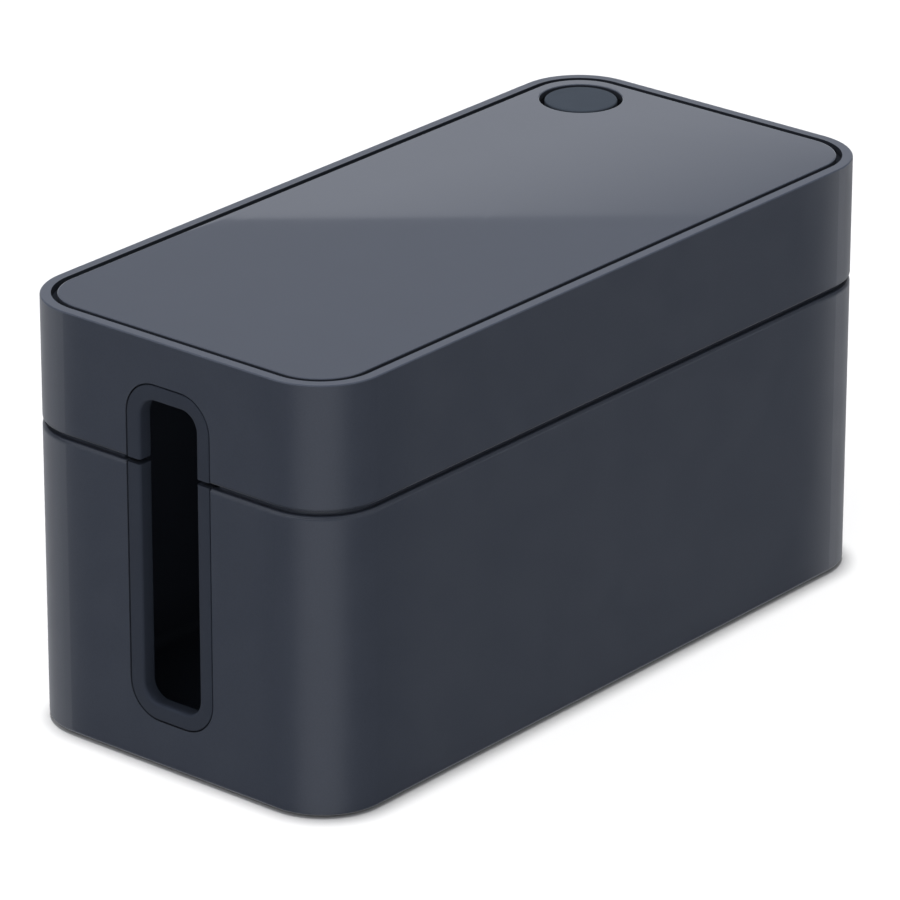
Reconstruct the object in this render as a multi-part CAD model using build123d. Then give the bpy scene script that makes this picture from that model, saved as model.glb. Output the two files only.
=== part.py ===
from build123d import *
import os

# Cable management box: a tub with a lift-off lid, soft-edged cable slots in both short ends, a mat let into
# the lid and a plugged cable port in one corner of it. X runs along the box, Y across it, Z up.
# The origin is on the ground, under the middle of the box. Millimetres.

# Overall
box_length = 246.0
box_width = 116.0
box_height = 128.0
corner_radius = 20.0        # vertical corners, outside
wall = 3.0                  # side walls of the tub and the lid
tub_floor = 3.0
ground_edge_radius = 1.0    # round where the tub's walls meet its underside
inner_floor_radius = 3.0    # round where the floor meets the walls, inside

# Seam between the tub and the lid
lid_height = 37.3           # from the top of the box to the middle of the seam
shadow_gap = 1.55           # open height of the seam, seen from outside
lap_height = 6.0            # how far the tub's tongue stands up inside the lid
lap_clearance = 0.3         # between the tongue and the lid's lip
tongue_chamfer = 0.4
shoulder_radius = 0.8       # top outer edge of the tub
lip_radius = 0.6            # bottom outer edge of the lid

# Top of the lid
rim_width = 3.1             # flat rim round the mat
rim_edge_radius = 0.45
mat_groove = 1.5            # open groove between the rim and the mat
mat_thickness = 2.0
mat_edge_radius = 0.35
film_thickness = 0.3        # adhesive under the mat
film_margin = 1.2           # from the mat's edges back to the film's
deck = 2.5                  # lid's plate under the mat
lid_inner_radius = 1.5
rib_thickness = 1.6         # stiffening ribs under the plate
rib_height = 3.0
rib_count = 5

# Cable slots, one in each short end, across the seam
slot_width = 20.6
slot_sill = 19.4            # from the ground to the bottom of the opening
slot_lintel = 17.8          # from the top of the opening to the top of the box
slot_radius = 5.5
trim_border = 4.7           # width of the soft edging round the opening
trim_face = 1.2             # thickness of the edging's outer face
trim_web = 1.6              # thickness where the edging passes through the wall
trim_hook = 1.6             # how far its inner hook reaches behind the wall
trim_hook_depth = 1.6       # how far that hook stands into the box
trim_line = 0.35            # open line round the edging's outer face
trim_fit = 0.1              # between the edging and the wall, elsewhere
trim_edge_radius = 0.3
slot_edge_radius = 0.5      # round from the edging's face into the opening
tongue_relief = 2.0         # from the edging to the ends of the tongue

# Cable port in the lid's corner, and the plug that closes it
port_radius = 12.4
port_land = 4.0             # width of mat left between the port and the groove
port_ledge = 2.5            # ledge that the plug's head rests on
port_wall = 2.0             # wall of the port's cup and collar
collar_length = 6.0
cap_gap = 1.5               # open ring round the plug's head
cap_head = 6.0              # height of the plug's head
cap_skin = 2.5              # top of the head, above its hollow
cap_skirt_fit = 0.3         # between the plug's skirt and the collar
cap_skirt_wall = 1.8
cap_skirt_length = 7.0
cap_edge_radius = 0.6

# Feet
foot_radius = 6.5
foot_inset = 20.0           # from the outer walls to a foot's centre
foot_stand = 0.8            # how far the feet hold the tub off the ground
foot_pocket = 1.0           # depth of the foot's seat in the underside
foot_fit = 0.1
foot_edge_radius = 0.5

# Levels and places that follow from those sizes
past = 1.0                  # how far a cutting shape runs past the faces it cuts
seam_level = box_height - lid_height
shoulder_level = seam_level - shadow_gap / 2
lid_bottom = seam_level + shadow_gap / 2
tongue_top = shoulder_level + lap_height
floor_level = foot_stand + tub_floor
deck_top = box_height - mat_thickness - film_thickness
deck_bottom = deck_top - deck
half_lap = (wall - lap_clearance) / 2
mat_inset = rim_width + mat_groove
port_inset = mat_inset + port_land + port_radius
port_x = box_length / 2 - port_inset
port_y = box_width / 2 - port_inset
ledge_level = box_height - cap_head
collar_radius = port_radius - port_ledge
slot_top = box_height - slot_lintel
slot_height = slot_top - slot_sill
relief_width = slot_width + 2 * (trim_border + trim_line + tongue_relief)
foot_x = box_length / 2 - foot_inset
foot_y = box_width / 2 - foot_inset

ends = {"left": -1, "right": 1}
sides = {"front": -1, "rear": 1}


def box_prism(inset, low, high):
    """The box's rounded outline, moved inwards by inset, between two levels."""
    outline = RectangleRounded(box_length - 2 * inset, box_width - 2 * inset, corner_radius - inset)
    return Pos(0, 0, low) * extrude(outline, high - low)


def disc(radius, low, high):
    return Pos(0, 0, low) * extrude(Circle(radius), high - low)


def at_port(shape):
    return Pos(port_x, port_y, 0) * shape


def slot_prism(grow, depth_from, depth_to):
    """The slot's outline, grown all round, between two depths inwards from the right end's outer face."""
    outline = RectangleRounded(slot_width + 2 * grow, slot_height + 2 * grow, slot_radius + grow)
    centre = (box_length / 2 - depth_to, 0, (slot_sill + slot_top) / 2)
    facing_out = Plane(centre, x_dir=(0, 1, 0), z_dir=(1, 0, 0))
    return extrude(facing_out * outline, depth_to - depth_from)


def at_end(shape, end):
    """A shape made at the right end, placed at the end asked for."""
    return shape if end > 0 else Rot(0, 0, 180) * shape


def slab(low, high):
    """Everything between two levels."""
    height = high - low
    return Pos(0, 0, low + height / 2) * Box(2 * box_length, 2 * box_width, height)


def edges_at(shape, level):
    """The edges that lie flat at one level."""
    return shape.edges().filter_by_position(Axis.Z, level, level)


def slot_cut():
    """What one slot takes out of an end wall: the hole for the edging's web and the rebate for its face."""
    hole = slot_prism(trim_web + trim_fit, -past, wall + past)
    rebate = slot_prism(trim_border + trim_line, -past, trim_face)
    return hole + rebate


def make_base_tub():
    shell = box_prism(0, foot_stand, shoulder_level)
    shell = fillet(edges_at(shell, shoulder_level), shoulder_radius)
    shell = fillet(edges_at(shell, foot_stand), ground_edge_radius)
    tongue = box_prism(wall - half_lap, shoulder_level - past, tongue_top)
    tongue = chamfer(edges_at(tongue, tongue_top), tongue_chamfer)
    relief = Pos(0, 0, tongue_top) * Box(2 * box_length, relief_width, 2 * lap_height)
    cavity = box_prism(wall, floor_level, tongue_top + past)
    cavity = fillet(edges_at(cavity, floor_level), inner_floor_radius)
    tub = shell + (tongue - relief) - cavity
    for end in ends.values():
        tub -= at_end(slot_cut(), end)
        for side in sides.values():
            pocket = disc(foot_radius + foot_fit, foot_stand - past, foot_stand + foot_pocket)
            tub -= Pos(end * foot_x, side * foot_y, 0) * pocket
    return tub


def make_lid_ribs():
    """Cross ribs under the lid's plate, evenly spread between its ends."""
    pitch = (box_length - 2 * wall) / (rib_count + 1)
    rib = Box(rib_thickness, box_width - wall, rib_height + deck)
    level = deck_top - (rib_height + deck) / 2
    ribs = Part()
    for number in range(rib_count):
        ribs += Pos((number - (rib_count - 1) / 2) * pitch, 0, level) * rib
    return ribs


def make_port_cup():
    """The cup and collar moulded under the lid's plate round the port."""
    cup = disc(port_radius + port_wall, ledge_level - port_wall, deck_top)
    collar = disc(collar_radius + port_wall, ledge_level - collar_length - port_wall, deck_top)
    return at_port(cup + collar)


def make_port_void():
    """What the port takes out of the lid: the head's recess and the throat below it."""
    recess = disc(port_radius, ledge_level, box_height + past)
    throat = disc(collar_radius, ledge_level - collar_length - port_wall - past, box_height + past)
    return at_port(recess + throat)


def make_lid_shell():
    shell = box_prism(0, lid_bottom, box_height)
    shell = fillet(edges_at(shell, lid_bottom), lip_radius)
    shell = fillet(edges_at(shell, box_height), rim_edge_radius)
    recess = box_prism(rim_width, deck_top, box_height + past)
    hollow = box_prism(wall, lid_bottom - past, deck_bottom)
    hollow = fillet(edges_at(hollow, deck_bottom), lid_inner_radius)
    # the lip is half the wall, except beside the slots, where the whole wall keys between the tongue's ends
    lap = box_prism(half_lap, lid_bottom - past, tongue_top)
    lap -= Box(2 * box_length, relief_width - 2 * lap_clearance, 2 * box_height)
    lid = shell - recess - hollow - lap + make_lid_ribs() + make_port_cup() - make_port_void()
    for end in ends.values():
        lid -= at_end(slot_cut(), end)
    return lid


def make_lid_mat():
    mat = box_prism(mat_inset, box_height - mat_thickness, box_height)
    mat -= at_port(disc(port_radius, 0, box_height + past))
    return fillet(edges_at(mat, box_height), mat_edge_radius)


def make_mat_adhesive():
    film = box_prism(mat_inset + film_margin, deck_top, deck_top + film_thickness)
    return film - at_port(disc(port_radius + film_margin, 0, box_height))


def make_port_cap():
    head = disc(port_radius - cap_gap, ledge_level, box_height)
    head = fillet(edges_at(head, box_height), cap_edge_radius)
    skirt_radius = collar_radius - cap_skirt_fit
    skirt = disc(skirt_radius, ledge_level - cap_skirt_length, ledge_level)
    hollow = disc(skirt_radius - cap_skirt_wall, 0, box_height - cap_skin)
    return at_port(head + skirt - hollow)


def make_slot_trim():
    """The whole edging of the right slot: a face in the wall's rebate, a web and a hook behind the wall."""
    face = slot_prism(trim_border, 0, trim_face)
    web = slot_prism(trim_web, 0, wall + trim_hook_depth)
    hook = slot_prism(trim_web + trim_hook, wall, wall + trim_hook_depth)
    opening = slot_prism(0, -past, wall + trim_hook_depth + past)
    trim = face + web + hook - opening
    front = trim.faces().sort_by(Axis.X)[-1]
    trim = fillet(front.inner_wires()[0].edges(), slot_edge_radius)
    front = trim.faces().sort_by(Axis.X)[-1]
    return fillet(front.outer_wire().edges(), trim_edge_radius)


def make_foot():
    foot = disc(foot_radius, 0, foot_stand + foot_pocket)
    return fillet(edges_at(foot, 0), foot_edge_radius)


pieces = {
    "base_tub": make_base_tub(),
    "lid_shell": make_lid_shell(),
    "lid_mat": make_lid_mat(),
    "mat_adhesive": make_mat_adhesive(),
    "port_cap": make_port_cap(),
}
for end_name, end in ends.items():
    trim = at_end(make_slot_trim(), end)
    pieces[f"slot_trim_{end_name}_lower"] = trim & slab(0, shoulder_level)
    pieces[f"slot_trim_{end_name}_upper"] = trim & slab(lid_bottom, box_height)
    for side_name, side in sides.items():
        pieces[f"foot_{side_name}_{end_name}"] = Pos(end * foot_x, side * foot_y, 0) * make_foot()

os.makedirs("parts", exist_ok=True)
for name, piece in pieces.items():
    export_step(piece, f"parts/{name}.step")
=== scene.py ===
import math

import bmesh
import bpy
from mathutils import Matrix, Vector


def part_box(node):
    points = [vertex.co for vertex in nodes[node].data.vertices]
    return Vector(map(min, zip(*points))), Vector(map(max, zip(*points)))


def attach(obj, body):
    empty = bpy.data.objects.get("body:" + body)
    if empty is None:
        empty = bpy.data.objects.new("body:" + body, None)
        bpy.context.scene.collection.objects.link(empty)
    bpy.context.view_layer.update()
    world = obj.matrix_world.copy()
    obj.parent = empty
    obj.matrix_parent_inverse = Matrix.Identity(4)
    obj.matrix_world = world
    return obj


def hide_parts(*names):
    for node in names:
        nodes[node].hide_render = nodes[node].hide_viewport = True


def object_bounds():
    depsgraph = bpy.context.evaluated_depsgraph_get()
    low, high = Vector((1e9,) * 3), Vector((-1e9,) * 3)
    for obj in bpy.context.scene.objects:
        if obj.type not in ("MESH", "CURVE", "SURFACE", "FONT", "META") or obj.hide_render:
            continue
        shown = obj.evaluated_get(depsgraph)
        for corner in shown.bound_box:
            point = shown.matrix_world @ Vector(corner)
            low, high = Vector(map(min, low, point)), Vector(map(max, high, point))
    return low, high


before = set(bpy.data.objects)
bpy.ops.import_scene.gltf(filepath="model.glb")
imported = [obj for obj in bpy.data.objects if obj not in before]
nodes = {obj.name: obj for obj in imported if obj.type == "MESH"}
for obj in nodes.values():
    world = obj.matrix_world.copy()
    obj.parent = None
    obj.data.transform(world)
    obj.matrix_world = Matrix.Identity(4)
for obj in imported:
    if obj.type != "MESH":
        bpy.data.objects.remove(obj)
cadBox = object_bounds()
print("frame loaded:", len(nodes), "nodes")

# Everything is in metres. Sizes that the frame doesn't give are written as so many millimetres
mm = 0.001
weldGap = 0.001 * mm         # points closer than this are one


def addObject(name, data):
    obj = bpy.data.objects.new(name, data)
    bpy.context.scene.collection.objects.link(obj)
    return obj


camera = {
    "azimuth": -50.247,      # degrees
    "elevation": 22.892,
    "roll": 0.094,
    "distance": 1.8622,
    "lens": 259.28,          # mm
    "sensor": 36.0,          # mm
    "aimHeight": 0.058,      # it looks at a point this far above the ground,
    "aimRight": -0.001996,   # then this far to its right and up
    "aimUp": -0.000485,
}


def lookFrom(azimuth, elevation):
    # the direction from the object to something at that azimuth and elevation
    a, e = math.radians(azimuth), math.radians(elevation)
    return Vector((math.sin(a) * math.cos(e), -math.cos(a) * math.cos(e), math.sin(e)))


def makeCamera(values):
    back = lookFrom(values["azimuth"], values["elevation"])
    a = math.radians(values["azimuth"])
    right = Vector((math.cos(a), math.sin(a), 0))
    up = back.cross(right)
    aim = Vector((0, 0, values["aimHeight"])) + right * values["aimRight"] + up * values["aimUp"]
    turn = Matrix((right, up, back)).transposed().to_4x4()
    roll = Matrix.Rotation(math.radians(values["roll"]), 4, "Z")
    data = bpy.data.cameras.new("mainCamera")
    data.sensor_width = values["sensor"]
    data.lens = values["lens"]
    data.dof.use_dof = False
    obj = addObject("mainCamera", data)
    obj.matrix_world = Matrix.Translation(aim + back * values["distance"]) @ turn @ roll
    bpy.context.scene.camera = obj


makeCamera(camera)
print("camera placed")


def feed(tree, node, inputs):
    # each value is either a plain number, colour or text, or a socket to link from
    for key, value in inputs.items():
        if isinstance(value, bpy.types.NodeSocket):
            tree.links.new(value, node.inputs[key])
        else:
            node.inputs[key].default_value = value


def addNode(tree, kind, inputs=None, **settings):
    node = tree.nodes.new(kind)
    for name, value in settings.items():
        setattr(node, name, value)
    feed(tree, node, inputs or {})
    return node


def calculate(tree, operation, first, second=0.0, third=0.0):
    return addNode(tree, "ShaderNodeMath", {0: first, 1: second, 2: third}, operation=operation).outputs[0]


def dotProduct(tree, first, second):
    # how far one direction points along another
    node = addNode(tree, "ShaderNodeVectorMath", {0: first, 1: second}, operation="DOT_PRODUCT")
    return node.outputs["Value"]


def rampBetween(tree, value, fromLow, fromHigh, toLow, toHigh, curve="LINEAR"):
    node = addNode(tree, "ShaderNodeMapRange", {
        "Value": value, "From Min": fromLow, "From Max": fromHigh, "To Min": toLow, "To Max": toHigh,
    }, interpolation_type=curve)
    return node.outputs["Result"]


def easeBetween(tree, value, span, toLow, toHigh):
    # a ramp with soft ends
    return rampBetween(tree, value, *span, toLow, toHigh, "SMOOTHSTEP")


def between(tree, value, low, high):
    # 1 where the value lies between the two
    above = calculate(tree, "GREATER_THAN", value, low)
    return calculate(tree, "MULTIPLY", above, calculate(tree, "LESS_THAN", value, high))


def shadeInside(tree, part, amount):
    # 1 outside a part that is marked 1, and that amount inside it
    return rampBetween(tree, part, 0.0, 1.0, 1.0, amount)


noiseSpan = (0.3, 0.7)       # most of a noise pattern lies in here
wideSpan = (0.25, 0.75)      # and nearly all of it in here


def noiseAt(tree, coords, size, detail, roughness=0.5, stretch=None):
    # noise whose blobs are about so many metres across
    if stretch:
        coords = addNode(tree, "ShaderNodeMapping", {"Vector": coords, "Scale": stretch}).outputs[0]
    node = addNode(tree, "ShaderNodeTexNoise", {
        "Vector": coords, "Scale": 1 / size, "Detail": detail, "Roughness": roughness,
    })
    return node.outputs["Fac"]


def startMaterial(name):
    material = bpy.data.materials.new(name)
    material.use_nodes = True
    tree = material.node_tree
    shader = tree.nodes["Principled BSDF"]
    coords = addNode(tree, "ShaderNodeTexCoord").outputs["Object"]
    return material, tree, shader, coords


def faceDirection(tree):
    # the way that the surface looks, and how far that points up
    facing = addNode(tree, "ShaderNodeTexCoord").outputs["Normal"]
    return facing, addNode(tree, "ShaderNodeSeparateXYZ", {0: facing}).outputs["Z"]


def scaleColour(tree, colour, amount):
    return addNode(tree, "ShaderNodeHueSaturation", {"Color": colour, "Value": amount}).outputs[0]


def shadeColour(tree, colour, variation, amount):
    # the colour, made up to that share darker or lighter by a 0..1 pattern
    return scaleColour(tree, (*colour, 1), rampBetween(tree, variation, *wideSpan, 1 - amount, 1 + amount))


def spreadRoughness(tree, variation, values):
    # the roughness, made up to its spread smoother or rougher by a 0..1 pattern
    middle, spread = values["roughness"], values["roughnessSpread"]
    return rampBetween(tree, variation, *noiseSpan, middle - spread, middle + spread)


def addBump(tree, height, depth, strength=1.0, under=None):
    inputs = {"Height": height, "Distance": depth, "Strength": strength}
    if under:
        inputs["Normal"] = under
    return addNode(tree, "ShaderNodeBump", inputs).outputs[0]


# Very finely grained moulded plastic over a long, faint unevenness. The walls ease into the vertical corners,
# and the top edge of the tub is rolled over
# Shade is painted into its colour on the lid's flat rim, along the seam, on the sides of the narrow gaps and
# on the deck under the mat
shellPlastic = {
    "colour": (0.0350, 0.0414, 0.0574),
    "roughness": 0.30,
    "roughnessSpread": 0.02,
    "specular": 0.4,
    "grainSize": 0.45 * mm,
    "grainDepth": 0.0040 * mm,
    "waveSize": 38 * mm,
    "waveDepth": 0.020 * mm,
    "cloudSize": 9 * mm,
    "cloudAmount": 0.022,
    "fleckAmount": 0.07,
    "levelFrom": 0.5,            # a surface that points up by more than this is level, by less it is upright
    "rimShade": 0.98,            # painted shade: how much the lid's flat rim is darkened
    "gapShade": 0.64,            # painted shade on the sides of the narrow gaps round the mat and the edgings
    "deckShade": 0.20,           # and painted shade on the deck under the mat, which is between these heights
    "deckFrom": 120 * mm,
    "deckTo": 127 * mm,
    "rebateFrom": 120.2 * mm,    # the edgings' rebates are this far from the middle of the box
    "rebateTo": 122.95 * mm,
    "rebateHalf": 15.6 * mm,     # and this far to either side, between these heights
    "rebateLow": 12 * mm,
    "rebateHigh": 116 * mm,
    "cornerRadius": 20 * mm,
    "easeLong": 22 * mm,         # the long walls start to turn this far before the corner's arc
    "easeShort": 10 * mm,        # and the short walls this far
    "easeAngle": 7.0,            # both have turned this many degrees where it starts
    "shoulder": 89.92 * mm,      # the tub's top edge, which is rolled back over this height, up to this angle
    "rollHeight": 1.5 * mm,
    "rollAngle": 42.0,
    "seamTo": 92.2 * mm,         # the seam is shaded from the shoulder up to here
    "seamShade": 0.75,
}


def easeCorners(tree, place, values):
    # the height, in metres, of a faint easing of the walls into the vertical corners, and of the rolled edge
    slope = math.radians(values["easeAngle"])
    pastX = calculate(tree, "SUBTRACT", place["X"], cadBox[1].x - values["cornerRadius"])
    pastY = calculate(tree, "SUBTRACT", place["Y"], cadBox[1].y - values["cornerRadius"])
    eased = []
    for past, before in ((pastX, values["easeLong"]), (pastY, values["easeShort"])):
        rise = calculate(tree, "POWER", rampBetween(tree, past, -before, 0.0, 0.0, 1.0), 3)
        most = slope * before / 3
        eased.append(calculate(tree, "MULTIPLY_ADD", rise, -most, most))
    # inside the arc the extra turn dies away towards the middle of the corner
    after = values["cornerRadius"] / math.sqrt(2)
    fall = rampBetween(tree, calculate(tree, "MINIMUM", pastX, pastY), 0.0, after, 1.0, 0.0)
    falling = calculate(tree, "MULTIPLY", calculate(tree, "POWER", fall, 2), slope * after / 2)
    start = values["shoulder"] - values["rollHeight"]
    roll = rampBetween(tree, place["Z"], start, values["shoulder"], 0.0, 1.0)
    deepest = math.tan(math.radians(values["rollAngle"])) * values["rollHeight"] / 2
    falling = calculate(tree, "MULTIPLY_ADD", calculate(tree, "POWER", roll, 2), -deepest, falling)
    return calculate(tree, "ADD", calculate(tree, "ADD", *eased), falling)


def shadePlaces(tree, coords, place, facing, up, values):
    # the painted shade, how light the plastic is made from place to place, and 1 inside the gaps, which are
    # dull as well
    level = calculate(tree, "GREATER_THAN", up, values["levelFrom"])
    deck = calculate(tree, "MULTIPLY", level, between(tree, place["Z"], values["deckFrom"], values["deckTo"]))
    rim = calculate(tree, "MULTIPLY", level, calculate(tree, "GREATER_THAN", place["Z"], values["deckTo"]))
    # up in the lid, what looks back at the middle of the box is the groove's side, or out of sight
    inwards = calculate(tree, "LESS_THAN", dotProduct(tree, facing, coords), 0.0)
    high = calculate(tree, "GREATER_THAN", place["Z"], values["deckFrom"])
    groove = calculate(tree, "MULTIPLY", inwards, high)
    rebate = calculate(tree, "MULTIPLY", between(tree, place["X"], values["rebateFrom"], values["rebateTo"]),
                       between(tree, place["Z"], values["rebateLow"], values["rebateHigh"]))
    beside = calculate(tree, "LESS_THAN", place["Y"], values["rebateHalf"])
    sides = calculate(tree, "MAXIMUM", groove, calculate(tree, "MULTIPLY", rebate, beside))
    seam = between(tree, place["Z"], values["shoulder"], values["seamTo"])
    shade = shadeInside(tree, rim, values["rimShade"])
    for part, amount in ((seam, "seamShade"), (sides, "gapShade"), (deck, "deckShade")):
        shade = calculate(tree, "MULTIPLY", shade, shadeInside(tree, part, values[amount]))
    return shade, calculate(tree, "MAXIMUM", deck, sides)


def makeShellPlastic(name, values):
    material, tree, shader, coords = startMaterial(name)
    grain = noiseAt(tree, coords, values["grainSize"], detail=2.0)
    clouds = noiseAt(tree, coords, values["cloudSize"], detail=3.0)
    waves = noiseAt(tree, coords, values["waveSize"], detail=0.0)
    facing, up = faceDirection(tree)
    # the box is alike at both ends and on both sides, so places are given as distances from its middle
    apart = addNode(tree, "ShaderNodeVectorMath", {0: coords}, operation="ABSOLUTE").outputs[0]
    place = addNode(tree, "ShaderNodeSeparateXYZ", {0: apart}).outputs
    # shade holds the painted shade of the rim, the seam, the gap sides and the deck
    shade, gaps = shadePlaces(tree, coords, place, facing, up, values)
    cloudy = shadeColour(tree, values["colour"], clouds, values["cloudAmount"])
    fleck = rampBetween(tree, grain, *noiseSpan, 1 - values["fleckAmount"], 1 + values["fleckAmount"])
    upright = calculate(tree, "LESS_THAN", calculate(tree, "ABSOLUTE", up), values["levelFrom"])
    eased = addBump(tree, easeCorners(tree, place, values), 1.0, strength=upright)
    uneven = calculate(tree, "MULTIPLY", waves, values["waveDepth"])
    uneven = calculate(tree, "MULTIPLY_ADD", grain, values["grainDepth"], uneven)
    feed(tree, shader, {
        "Base Color": scaleColour(tree, cloudy, calculate(tree, "MULTIPLY", fleck, shade)),
        "Roughness": calculate(tree, "MAXIMUM", spreadRoughness(tree, clouds, values), gaps),
        "Normal": addBump(tree, uneven, 1.0, under=eased),
        "Specular IOR Level": values["specular"],
    })
    return material


# The inlay is the same grey but polished, so it mirrors what stands behind it. Its cut sides are darkened
# with painted shade
matSurface = {
    "colour": (0.0312, 0.0371, 0.0519),
    "roughness": 0.012,
    "roughnessSpread": 0.006,
    "smearSize": 45 * mm,
    "smearSpan": (0.35, 0.7),
    "cloudSize": 14 * mm,
    "cloudAmount": 0.015,
    "waveSize": 60 * mm,
    "waveDepth": 0.0012 * mm,
    "cutSideBelow": 0.6,            # a surface that points up by less than this is a cut side
    "cutSideShade": 0.75,
    "cutSideRoughness": 0.9,
}


def makeMatSurface(name, values):
    material, tree, shader, coords = startMaterial(name)
    clouds = noiseAt(tree, coords, values["cloudSize"], detail=3.0)
    smears = noiseAt(tree, coords, values["smearSize"], detail=4.0, roughness=0.65)
    waves = noiseAt(tree, coords, values["waveSize"], detail=0.0)
    cutSide = calculate(tree, "LESS_THAN", faceDirection(tree)[1], values["cutSideBelow"])
    cloudy = shadeColour(tree, values["colour"], clouds, values["cloudAmount"])
    smooth = values["roughness"]
    rough = rampBetween(tree, smears, *values["smearSpan"], smooth, smooth + values["roughnessSpread"])
    dull = calculate(tree, "MULTIPLY", cutSide, values["cutSideRoughness"])
    feed(tree, shader, {
        # painted shade darkens the cut sides
        "Base Color": scaleColour(tree, cloudy, shadeInside(tree, cutSide, values["cutSideShade"])),
        "Roughness": calculate(tree, "MAXIMUM", rough, dull),
        "Normal": addBump(tree, waves, values["waveDepth"]),
    })
    return material


# Soft moulded rubber: quite matte, with a fine even tooth
softRubber = {
    "trimColour": (0.0218, 0.0270, 0.0395),
    "capColour": (0.0270, 0.0335, 0.0437),
    "roughness": 0.78,
    "roughnessSpread": 0.05,
    "specular": 0.22,
    "toothSize": 0.18 * mm,
    "toothDepth": 0.006 * mm,
    "cloudSize": 6 * mm,
    "cloudAmount": 0.03,
}


def makeSoftRubber(name, values, colour):
    material, tree, shader, coords = startMaterial(name)
    tooth = noiseAt(tree, coords, values["toothSize"], detail=3.0, roughness=0.7)
    clouds = noiseAt(tree, coords, values["cloudSize"], detail=3.0)
    feed(tree, shader, {
        "Base Color": shadeColour(tree, colour, clouds, values["cloudAmount"]),
        "Roughness": spreadRoughness(tree, tooth, values),
        "Normal": addBump(tree, tooth, values["toothDepth"]),
        "Specular IOR Level": values["specular"],
    })
    return material


# Black non-slip rubber, a little dusty on the tread
footRubber = {
    "colour": (0.012, 0.012, 0.013),
    "dust": (0.05, 0.048, 0.045),
    "dustAmount": 0.35,
    "dustSize": 2.5 * mm,
    "dustSpan": (0.5, 0.75),
    "roughness": 0.82,
    "grainSize": 0.25 * mm,
    "grainDepth": 0.008 * mm,
}


def makeFootRubber(name, values):
    material, tree, shader, coords = startMaterial(name)
    grain = noiseAt(tree, coords, values["grainSize"], detail=4.0, roughness=0.7)
    patches = noiseAt(tree, coords, values["dustSize"], detail=4.0)
    share = rampBetween(tree, patches, *values["dustSpan"], 0.0, values["dustAmount"])
    dusty = addNode(tree, "ShaderNodeMixRGB", {
        "Fac": share, "Color1": (*values["colour"], 1), "Color2": (*values["dust"], 1),
    })
    feed(tree, shader, {
        "Base Color": dusty.outputs[0],
        "Roughness": values["roughness"],
        "Normal": addBump(tree, grain, values["grainDepth"]),
    })
    return material


# Milky double-sided film with a fibre core
adhesiveFilm = {
    "colour": (0.52, 0.51, 0.47),
    "roughness": 0.4,
    "fibreSize": 0.5 * mm,
    "fibreStretch": (1.0, 6.0, 1.0),
    "fibreAmount": 0.1,
    "fibreDepth": 0.01 * mm,
}


def makeAdhesiveFilm(name, values):
    material, tree, shader, coords = startMaterial(name)
    fibres = noiseAt(tree, coords, values["fibreSize"], detail=3.0, stretch=values["fibreStretch"])
    feed(tree, shader, {
        "Base Color": shadeColour(tree, values["colour"], fibres, values["fibreAmount"]),
        "Roughness": values["roughness"],
        "Normal": addBump(tree, fibres, values["fibreDepth"]),
    })
    return material


shellMaterial = makeShellPlastic("shellPlastic", shellPlastic)
matMaterial = makeMatSurface("matSurface", matSurface)
trimMaterial = makeSoftRubber("softTrim", softRubber, softRubber["trimColour"])
capMaterial = makeSoftRubber("softCap", softRubber, softRubber["capColour"])
footMaterial = makeFootRubber("footRubber", footRubber)
filmMaterial = makeAdhesiveFilm("adhesiveFilm", adhesiveFilm)
print("materials made")


# The rigid mouldings and the film are shown as the frame has them
for nodeName, material in {
    "base_tub": shellMaterial,
    "lid_shell": shellMaterial,
    "mat_adhesive": filmMaterial,
}.items():
    nodes[nodeName].data.materials.clear()
    nodes[nodeName].data.materials.append(material)
print("shells finished")


def middleOf(low, high):
    return ((low.x + high.x) / 2, (low.y + high.y) / 2)


def arcPoints(centre, radius, fromAngle, toAngle, steps):
    # points on an arc, both ends included, angles in degrees
    points = []
    for i in range(steps + 1):
        a = math.radians(fromAngle + (toAngle - fromAngle) * i / steps)
        points.append((centre[0] + radius * math.cos(a), centre[1] + radius * math.sin(a)))
    return points


def roundCorners(corners, steps):
    # a closed outline from (x, y, radius) corners, with an arc of that radius at each
    outline = []
    for i, (x, y, radius) in enumerate(corners):
        here = Vector((x, y))
        toBefore = (Vector(corners[i - 1][:2]) - here).normalized()
        toAfter = (Vector(corners[(i + 1) % len(corners)][:2]) - here).normalized()
        half = toBefore.angle(toAfter) / 2
        centre = here + (toBefore + toAfter).normalized() * (radius / math.sin(half))
        start = here + toBefore * (radius / math.tan(half)) - centre
        end = here + toAfter * (radius / math.tan(half)) - centre
        outline += [tuple(centre + start.slerp(end, step / steps) * radius) for step in range(steps + 1)]
    return outline


def finishMesh(name, bm, material, sharpAngle=35):
    bmesh.ops.remove_doubles(bm, verts=bm.verts, dist=weldGap)
    bmesh.ops.recalc_face_normals(bm, faces=bm.faces)
    mesh = bpy.data.meshes.new(name)
    bm.to_mesh(mesh)
    bm.free()
    for face in mesh.polygons:
        face.use_smooth = True
    mesh.set_sharp_from_angle(angle=math.radians(sharpAngle))
    mesh.materials.append(material)
    return addObject(name, mesh)


def weighNormals(obj):
    # large flat faces keep their own normals, so they stay flat in reflections
    modifier = obj.modifiers.new("flatFaces", "WEIGHTED_NORMAL")
    modifier.mode = "FACE_AREA"
    modifier.keep_sharp = True


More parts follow.
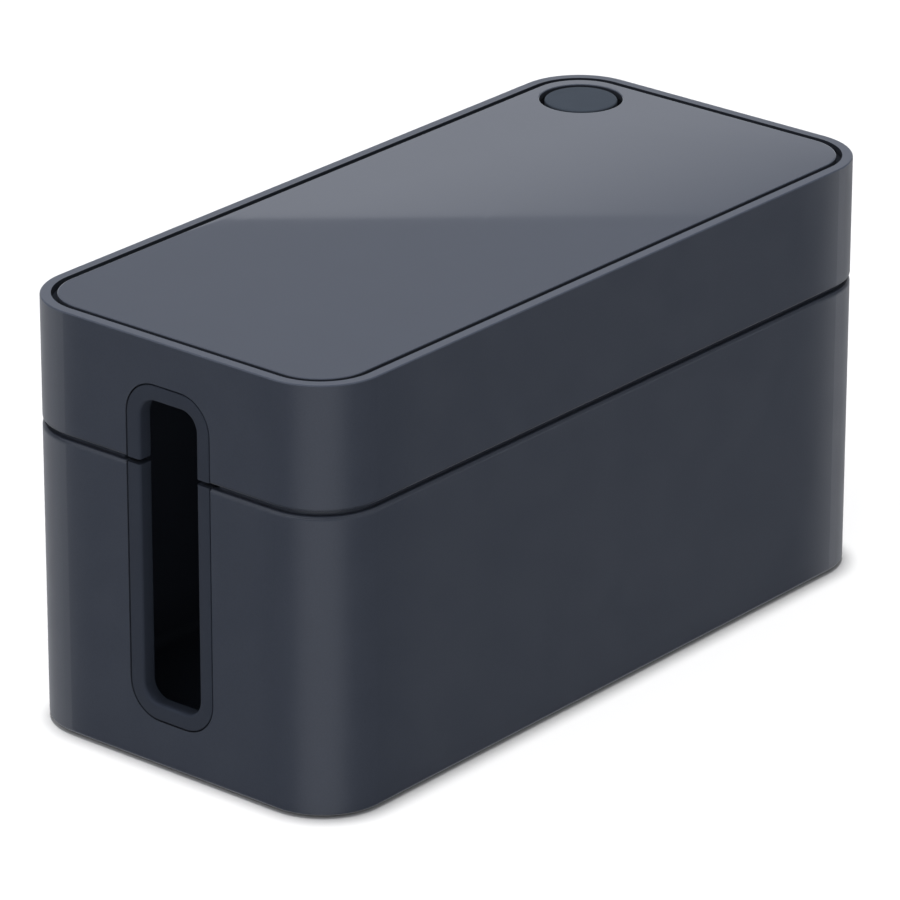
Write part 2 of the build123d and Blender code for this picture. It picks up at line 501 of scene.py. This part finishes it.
def lathe(name, outline, centre, material, turns):
    # turns an open (radius, height) outline, from axis to axis, round a vertical line through centre
    bm = bmesh.new()
    rings = []
    for radius, height in outline:
        if radius < weldGap:
            rings.append([bm.verts.new((centre[0], centre[1], height))])
            continue
        rings.append([bm.verts.new((centre[0] + radius * math.cos(2 * math.pi * i / turns),
                                    centre[1] + radius * math.sin(2 * math.pi * i / turns), height))
                      for i in range(turns)])
    for low, high in zip(rings, rings[1:]):
        for i in range(turns):
            j = (i + 1) % turns
            if len(low) == 1:
                bm.faces.new((low[0], high[i], high[j]))
            elif len(high) == 1:
                bm.faces.new((low[j], low[i], high[0]))
            else:
                bm.faces.new((low[i], low[j], high[j], high[i]))
    return finishMesh(name, bm, material)


def settle(obj, body, slot, *replaced):
    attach(obj, body)
    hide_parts(*replaced)


lidMat = {
    "slack": 0.25 * mm,          # how much shorter it is cut all round
    "cornerRadius": 15.4 * mm,
    "edgeRound": 0.35 * mm,
    "underRound": 0.2 * mm,
    "holeRadius": 12.4 * mm,
    "cornerSteps": 24,           # how finely each round is drawn
    "edgeSteps": 5,
    "underSteps": 3,
    "holeSteps": 128,
}


def roundedRectangle(halfX, halfY, radius, steps):
    x, y = halfX - radius, halfY - radius
    points = []
    for centre, start in (((x, y), 0), ((-x, y), 90), ((-x, -y), 180), ((x, -y), 270)):
        points += arcPoints(centre, radius, start, start + 90, steps)
    return points


def joinLoops(bm, loops):
    for lower, upper in zip(loops, loops[1:]):
        for i in range(len(lower)):
            j = (i + 1) % len(lower)
            bm.faces.new((lower[i], lower[j], upper[j], upper[i]))


def makeLidMat(values, holeCentre):
    low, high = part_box("lid_mat")
    # how far in from the side, and how high, each ring of the rounded edges is
    under, over = values["underRound"], values["edgeRound"]
    section = arcPoints((under, low.z + under), under, 270, 180, values["underSteps"])
    section += arcPoints((over, high.z - over), over, 180, 90, values["edgeSteps"])
    bm = bmesh.new()
    outerLoops = []
    holeLoops = []
    for inset, height in section:
        back = inset + values["slack"]
        outline = roundedRectangle(high.x - back, high.y - back, values["cornerRadius"] - back,
                                   values["cornerSteps"])
        hole = arcPoints(holeCentre, values["holeRadius"] + inset, 0, 360, values["holeSteps"])[:-1]
        outerLoops.append([bm.verts.new((x, y, height)) for x, y in outline])
        holeLoops.append([bm.verts.new((x, y, height)) for x, y in hole])
    joinLoops(bm, outerLoops)
    joinLoops(bm, holeLoops)
    for level in (low.z, high.z):
        rim = [edge for edge in bm.edges
               if edge.is_boundary and all(abs(vert.co.z - level) < weldGap for vert in edge.verts)]
        bmesh.ops.triangle_fill(bm, edges=rim, use_beauty=True, use_dissolve=False)
    obj = finishMesh("lidMat", bm, matMaterial)
    weighNormals(obj)
    return obj


portCentre = middleOf(*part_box("port_cap"))
settle(makeLidMat(lidMat, portCentre), "lid", "mat_surface", "lid_mat")
print("lid mat made")


portPlug = {
    "headHeight": 5.98 * mm,   # a hair above the ledge that it rests on
    "edgeRound": 0.6 * mm,
    "crown": 0.10 * mm,        # how much lower the head's edge is than its middle
    "skirtRadius": 9.6 * mm,
    "skirtWall": 1.8 * mm,
    "skin": 2.5 * mm,
    "lipHeight": 0.22 * mm,    # soft lips round the skirt
    "lipWidth": 1.2 * mm,
    "lipLevels": (-4.6 * mm, -2.2 * mm),
    "rounding": 0.3 * mm,
    "edgeSteps": 6,            # how finely each round is drawn
    "skirtSteps": 4,
    "smallSteps": 3,
    "lipSteps": 8,
    "crownSteps": 8,
    "turns": 128,
}


def makePortPlug(values, centre):
    # the outline starts at the ceiling of the hollow and runs round the skirt and over the head
    low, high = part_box("port_cap")
    radius = high.x - centre[0]
    ledge = high.z - values["headHeight"]
    ceiling = high.z - values["skin"]
    skirt = values["skirtRadius"]
    inner = skirt - values["skirtWall"]
    small = values["rounding"]
    half = small / 2
    outline = [(0, ceiling)]
    outline += arcPoints((inner - small, ceiling - small), small, 90, 0, values["smallSteps"])
    outline += arcPoints((inner + half, low.z + half), half, 180, 270, values["smallSteps"])
    outline += arcPoints((skirt - small, low.z + small), small, 270, 360, values["skirtSteps"])
    for level in values["lipLevels"]:
        for i in range(values["lipSteps"] + 1):
            share = i / values["lipSteps"]
            outline.append((skirt + values["lipHeight"] * math.sin(math.pi * share),
                            ledge + level + values["lipWidth"] * (share - 0.5)))
    outline.append((skirt, ledge))
    outline += arcPoints((radius - half, ledge + half), half, 270, 360, values["smallSteps"])
    edge, crown = values["edgeRound"], values["crown"]
    outline += arcPoints((radius - edge, high.z - crown - edge), edge, 0, 90, values["edgeSteps"])
    for i in range(1, values["crownSteps"] + 1):
        share = 1 - i / values["crownSteps"]
        outline.append(((radius - edge) * share, high.z - crown * share ** 2))
    return lathe("portPlug", outline, centre, capMaterial, values["turns"])


settle(makePortPlug(portPlug, portCentre), "cap", "soft_trim", "port_cap")
print("port plug made")


foot = {
    "edgeRound": 0.5 * mm,
    "seatRound": 0.2 * mm,
    "grooves": 4,
    "grooveWidth": 0.55 * mm,
    "grooveDepth": 0.30 * mm,
    "pitch": 1.25 * mm,
    "firstGroove": 1.3 * mm,
    "grooveSteps": 4,            # how finely each round is drawn
    "edgeSteps": 5,
    "seatSteps": 3,
    "turns": 72,
}


def makeFoot(name, nodeName, values):
    # the outline runs from the middle of the ringed tread, round the side and back over the seat
    low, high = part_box(nodeName)
    centre = middleOf(low, high)
    radius = high.x - centre[0]
    outline = [(0, low.z)]
    for i in range(values["grooves"]):
        start = values["firstGroove"] + i * values["pitch"]
        for step in range(values["grooveSteps"] + 1):
            share = step / values["grooveSteps"]
            outline.append((start + values["grooveWidth"] * share,
                            low.z + values["grooveDepth"] * math.sin(math.pi * share)))
    edge, seat = values["edgeRound"], values["seatRound"]
    outline += arcPoints((radius - edge, low.z + edge), edge, 270, 360, values["edgeSteps"])
    outline += arcPoints((radius - seat, high.z - seat), seat, 0, 90, values["seatSteps"])
    outline.append((0, high.z))
    return lathe(name, outline, centre, footMaterial, values["turns"])


for side in ("front", "rear"):
    for end in ("left", "right"):
        name = "foot" + side.capitalize() + end.capitalize()
        nodeName = f"foot_{side}_{end}"
        settle(makeFoot(name, nodeName, foot), "base", "foot_rubber", nodeName)
print("feet made")


# A soft channel along the slot's rounded outline: a face let into the wall, a web through it and a hook
# behind. The path runs along the opening's edge, and the section grows away from the opening
edging = {
    "border": 4.7 * mm,
    "slack": 0.1 * mm,           # how much less the outer face reaches
    "face": 1.2 * mm,
    "web": 1.6 * mm,
    "hook": 1.6 * mm,
    "hookDepth": 1.6 * mm,
    "cornerRadius": 5.5 * mm,
    "cornerSteps": 20,
    "outerRound": 0.25 * mm,
    "innerRound": 0.9 * mm,
    "hookRound": 0.3 * mm,
    "smallRound": 0.15 * mm,
    "roundSteps": 5,
}


def edgingSection(values, depth):
    # (away from the opening, into the wall); the first corner is the soft edge at the mouth of the slot
    wallBack = depth - values["hookDepth"]
    web, face = values["web"], values["face"]
    hook = web + values["hook"]
    reach = values["border"] - values["slack"]
    small, soft = values["smallRound"], values["hookRound"]
    return roundCorners([
        (0, 0, values["innerRound"]),
        (0, depth, soft),
        (hook, depth, soft),
        (hook, wallBack, small),
        (web, wallBack, small),
        (web, face, small),
        (reach, face, small),
        (reach, 0, values["outerRound"]),
    ], values["roundSteps"])


def outlineObject(name, points, closed):
    mesh = bpy.data.meshes.new(name)
    edges = [(i, i + 1) for i in range(len(points) - 1)]
    if closed:
        edges.append((len(points) - 1, 0))
    mesh.from_pydata(points, edges, [])
    return addObject(name, mesh)


def makeEdgingTree():
    tree = bpy.data.node_groups.new("sweepEdging", "GeometryNodeTree")
    sockets = (("Geometry", "INPUT", "NodeSocketGeometry"), ("Section", "INPUT", "NodeSocketObject"),
               ("Corner Radius", "INPUT", "NodeSocketFloat"), ("Corner Steps", "INPUT", "NodeSocketInt"),
               ("Turn", "INPUT", "NodeSocketFloat"), ("Material", "INPUT", "NodeSocketMaterial"),
               ("Geometry", "OUTPUT", "NodeSocketGeometry"))
    for label, way, kind in sockets:
        tree.interface.new_socket(label, in_out=way, socket_type=kind)
    given = addNode(tree, "NodeGroupInput").outputs
    path = addNode(tree, "GeometryNodeMeshToCurve", {"Mesh": given["Geometry"]})
    rounded = addNode(tree, "GeometryNodeFilletCurve", {
        "Curve": path.outputs[0], "Radius": given["Corner Radius"], "Count": given["Corner Steps"],
    }, mode="POLY")
    shape = addNode(tree, "GeometryNodeObjectInfo", {"Object": given["Section"]})
    section = addNode(tree, "GeometryNodeMeshToCurve", {"Mesh": shape.outputs["Geometry"]})
    swept = addNode(tree, "GeometryNodeCurveToMesh", {
        "Curve": rounded.outputs[0], "Profile Curve": section.outputs[0], "Fill Caps": True,
    })
    spin = addNode(tree, "ShaderNodeCombineXYZ", {"Z": given["Turn"]})
    turned = addNode(tree, "GeometryNodeTransform", {
        "Geometry": swept.outputs[0], "Rotation": spin.outputs[0],
    })
    real = addNode(tree, "GeometryNodeRealizeInstances", {"Geometry": turned.outputs[0]})
    painted = addNode(tree, "GeometryNodeSetMaterial", {
        "Geometry": real.outputs[0], "Material": given["Material"],
    })
    addNode(tree, "NodeGroupOutput", {"Geometry": painted.outputs[0]})
    return tree


def setInput(modifier, label, value):
    for item in modifier.node_group.interface.items_tree:
        if item.item_type == "SOCKET" and item.in_out == "INPUT" and item.name == label:
            modifier[item.identifier] = value


def makeEdging(name, nodeName, tree, values):
    low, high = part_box(nodeName)
    left = low.x < 0
    outerX = low.x if left else -high.x          # every edging is made at the left end, then turned
    border = values["border"]
    # the path starts at the seam, runs to the slot's sill or lintel, and comes back on the other side
    if nodeName.endswith("lower"):
        near, start, far = -1, high.z, low.z + border
    else:
        near, start, far = 1, low.z, high.z - border
    firstY = near * ((high.y - low.y) / 2 - border)
    path = [(outerX, firstY, start), (outerX, firstY, far), (outerX, -firstY, far), (outerX, -firstY, start)]
    pathObject = outlineObject(name, path, closed=False)
    points = [(into, away, 0) for away, into in edgingSection(values, high.x - low.x)]
    section = outlineObject("edgingSection", points, closed=True)
    modifier = pathObject.modifiers.new("sweep", "NODES")
    modifier.node_group = tree
    setInput(modifier, "Section", section)
    setInput(modifier, "Corner Radius", values["cornerRadius"])
    setInput(modifier, "Corner Steps", values["cornerSteps"])
    setInput(modifier, "Turn", 0.0 if left else math.pi)
    setInput(modifier, "Material", trimMaterial)
    graph = bpy.context.evaluated_depsgraph_get()
    plain = bpy.data.meshes.new_from_object(pathObject.evaluated_get(graph), depsgraph=graph)
    bm = bmesh.new()
    bm.from_mesh(plain)
    for used in (pathObject, section):
        bpy.data.objects.remove(used)
    bpy.data.meshes.remove(plain)
    return finishMesh(name, bm, trimMaterial)


edgingTree = makeEdgingTree()
for end in ("left", "right"):
    for level, body in (("lower", "base"), ("upper", "lid")):
        name = "slotEdging" + end.capitalize() + level.capitalize()
        nodeName = f"slot_trim_{end}_{level}"
        settle(makeEdging(name, nodeName, edgingTree, edging), body, "soft_trim", nodeName)
print("slot edgings made")


# Each reach is given in bearings, which are 1 straight ahead of the camera, 0 to its sides and -1 behind it,
# and each rise in heights, which are 0 at the horizon and 1 straight up
studio = {
    "floorHalf": 15.0,           # m, from the middle to its edges
    "floorColour": (0.539, 0.537, 0.535),
    "keyLight": 4.68,            # W/m2 from almost straight above, on the floor and the top
    "keyAngle": 4.0,             # degrees, how soft its shadows are
    "keyTilt": (-0.85, 0.4),     # degrees, which lays a thin shadow before the long side
    "frontLight": 7.0,           # W, a panel below the camera that reaches into the slot
    "frontElevation": 12.0,
    "frontDistance": 2.0,
    "frontSize": 0.8,
    "screens": (1.02, 0.52),     # soft screens to the left and right, which light the walls
    "screenMeet": (-0.1, 0.1),   # they pass into each other between here on the left and here on the right
    "screenReach": (0.45, 0.15),
    "screenRise": (0.34, 0.44, 0.80, 0.95),      # where they start, are full, start to fade and end
    "tint": (0.97, 0.99, 1.045),         # the colour of all but the two lights, a little blue
    "backdrop": 0.95,            # a thin band along the horizon
    "backdropRise": (0.06, 0.11),
    "room": 0.40,                # behind the box
    "roomReach": (0.3, 0.8),
    "ceiling": 0.35,             # high above it, all round
    "ceilingRise": (0.50, 0.80),
    "sides": 0.006,              # radiance that the walls mirror from either side
    "frontGlow": 0.80,           # what more they mirror from the camera's side
    "frontReach": (-0.7, -1.0),
    # glows from behind, which come in and then fade to a share of their strength over two spans. These are 0
    # where the flat walls mirror and 1 square to that, behind the box
    "rearLeft": {"comeIn": (0.09, 0.52), "strength": 0.88, "fade": (0.50, 0.82), "fadeTo": 0.27},
    "rearRight": {"comeIn": (0.17, 0.30), "strength": 1.05, "fade": (0.30, 0.60), "fadeTo": 0.13},
    "glowRise": (-0.1, 0.1),     # all three glows fade out here, at the horizon
    "cardLight": 0.467,          # what the card behind the box adds
    "cardReach": (0.80, 0.95),
    "cardEdge": 0.3806,          # its top edge, as rise over distance
    "cardFade": (0.422, 13.78, 43.7),    # how faded that edge is ahead, and how much more to its right and up
    "cardPower": 1.434,          # how the light is lost as the fade grows
    "cardDepth": 0.832,          # and what share of it is lost where the fade is 1
}


def makeFloor(values):
    half = values["floorHalf"]
    mesh = bpy.data.meshes.new("floor")
    corners = [(-half, -half, 0), (half, -half, 0), (half, half, 0), (-half, half, 0)]
    mesh.from_pydata(corners, [], [(0, 1, 2, 3)])
    obj = addObject("floor", mesh)
    material, tree, shader = startMaterial("palePaper")[:3]
    feed(tree, shader, {
        "Base Color": (*values["floorColour"], 1), "Roughness": 1.0, "Specular IOR Level": 0.0,
    })
    mesh.materials.append(material)
    obj.visible_glossy = False       # the box mirrors the lower half of the world instead


def cardGlow(tree, ahead, aside, height, values):
    # a card behind the box that the polished top mirrors, with a crisp top edge that fades to the right
    depth = calculate(tree, "MAXIMUM", ahead, 0.001)     # never nothing, as it divides
    slope = calculate(tree, "DIVIDE", height, depth)
    across = calculate(tree, "DIVIDE", aside, depth)
    start, perAcross, perRise = values["cardFade"]
    fade = calculate(tree, "MULTIPLY_ADD", across, perAcross, start - perRise * values["cardEdge"])
    fade = calculate(tree, "MAXIMUM", calculate(tree, "MULTIPLY_ADD", slope, perRise, fade), 0.0)
    fade = calculate(tree, "POWER", fade, values["cardPower"])
    lost = calculate(tree, "MULTIPLY", fade, values["cardDepth"])
    left = calculate(tree, "MAXIMUM", calculate(tree, "SUBTRACT", 1.0, lost), 0.0)
    below = calculate(tree, "LESS_THAN", slope, values["cardEdge"])
    above = calculate(tree, "GREATER_THAN", slope, 0.0)
    inside = calculate(tree, "MULTIPLY", below, above)
    return calculate(tree, "MULTIPLY", calculate(tree, "MULTIPLY", left, inside), values["cardLight"])


def rearGlow(tree, direction, level, aside, values):
    # light from either side behind, which shows first where a wall starts to turn away
    a = math.radians(camera["azimuth"])
    rearAxis = (math.cos(a), -math.sin(a), 0)     # square to the way that both walls mirror
    behind = calculate(tree, "DIVIDE", dotProduct(tree, direction, rearAxis), level)
    glows = []
    for side in (values["rearLeft"], values["rearRight"]):
        glow = easeBetween(tree, behind, side["comeIn"], 0.0, 1.0)
        faded = side["strength"] * side["fadeTo"]
        strength = rampBetween(tree, behind, *side["fade"], side["strength"], faded)
        glows.append(calculate(tree, "MULTIPLY", glow, strength))
    onRight = calculate(tree, "GREATER_THAN", aside, 0.0)
    change = calculate(tree, "SUBTRACT", glows[1], glows[0])
    return calculate(tree, "MULTIPLY_ADD", onRight, change, glows[0])


def addScreens(tree, room, bearing, aside, height, values):
    # the room with a soft screen on either side, high enough for the tub's shoulder to mirror them
    start, full, fade, end = values["screenRise"]
    screen = calculate(tree, "MULTIPLY", rampBetween(tree, height, start, full, 0.0, 1.0),
                       rampBetween(tree, height, fade, end, 1.0, 0.0))
    strength = rampBetween(tree, aside, *values["screenMeet"], *values["screens"])
    screen = calculate(tree, "MULTIPLY", screen, strength)
    reach = easeBetween(tree, bearing, values["screenReach"], 0.0, 1.0)
    return calculate(tree, "MULTIPLY_ADD", screen, reach, room)


def makeWorld(values):
    world = bpy.data.worlds.new("studio")
    world.use_nodes = True
    bpy.context.scene.world = world
    tree = world.node_tree
    a = math.radians(camera["azimuth"])
    direction = addNode(tree, "ShaderNodeTexCoord").outputs["Generated"]
    height = addNode(tree, "ShaderNodeSeparateXYZ", {0: direction}).outputs["Z"]
    ahead = dotProduct(tree, direction, (-math.sin(a), math.cos(a), 0))
    aside = dotProduct(tree, direction, (math.cos(a), math.sin(a), 0))
    flat = calculate(tree, "MULTIPLY_ADD", ahead, ahead, calculate(tree, "POWER", aside, 2))
    level = calculate(tree, "SQRT", flat)
    bearing = calculate(tree, "DIVIDE", ahead, level)
    # lighter ahead than at the sides, under an even ceiling
    room = easeBetween(tree, bearing, values["roomReach"], values["sides"], values["room"])
    high = easeBetween(tree, height, values["ceilingRise"], 0.0, 1.0)
    room = calculate(tree, "MULTIPLY_ADD", high, calculate(tree, "SUBTRACT", values["ceiling"], room), room)
    # the glows lie below the horizon, so the lid's top doesn't mirror them
    front = easeBetween(tree, bearing, values["frontReach"], 0.0, values["frontGlow"])
    glow = calculate(tree, "ADD", front, rearGlow(tree, direction, level, aside, values))
    low = easeBetween(tree, height, values["glowRise"], 1.0, 0.0)
    room = calculate(tree, "MULTIPLY_ADD", glow, low, room)
    room = addScreens(tree, room, bearing, aside, height, values)
    rise = calculate(tree, "ABSOLUTE", height)
    horizon = easeBetween(tree, rise, values["backdropRise"], values["backdrop"], 0.0)
    card = calculate(tree, "MULTIPLY", cardGlow(tree, ahead, aside, height, values),
                     easeBetween(tree, bearing, values["cardReach"], 0.0, 1.0))
    feed(tree, tree.nodes["Background"], {
        "Color": (*values["tint"], 1),
        "Strength": calculate(tree, "ADD", calculate(tree, "MAXIMUM", room, horizon), card),
    })


def makeKeyLight(values):
    data = bpy.data.lights.new("keyLight", "SUN")
    data.energy = values["keyLight"]
    data.angle = math.radians(values["keyAngle"])
    obj = addObject("keyLight", data)
    obj.rotation_euler = [math.radians(tilt) for tilt in values["keyTilt"]] + [0.0]
    obj.visible_glossy = False


def makeFrontLight(values):
    data = bpy.data.lights.new("frontLight", "AREA")
    data.energy = values["frontLight"]
    data.size = values["frontSize"]
    towards = lookFrom(camera["azimuth"], values["frontElevation"])
    obj = addObject("frontLight", data)
    obj.location = towards * values["frontDistance"] + Vector((0, 0, camera["aimHeight"]))
    obj.rotation_euler = towards.to_track_quat("Z", "Y").to_euler()
    obj.visible_glossy = False
    obj.visible_camera = False


makeFloor(studio)
makeWorld(studio)
makeKeyLight(studio)
makeFrontLight(studio)
bpy.context.scene.view_settings.view_transform = "Standard"
print("studio lit")
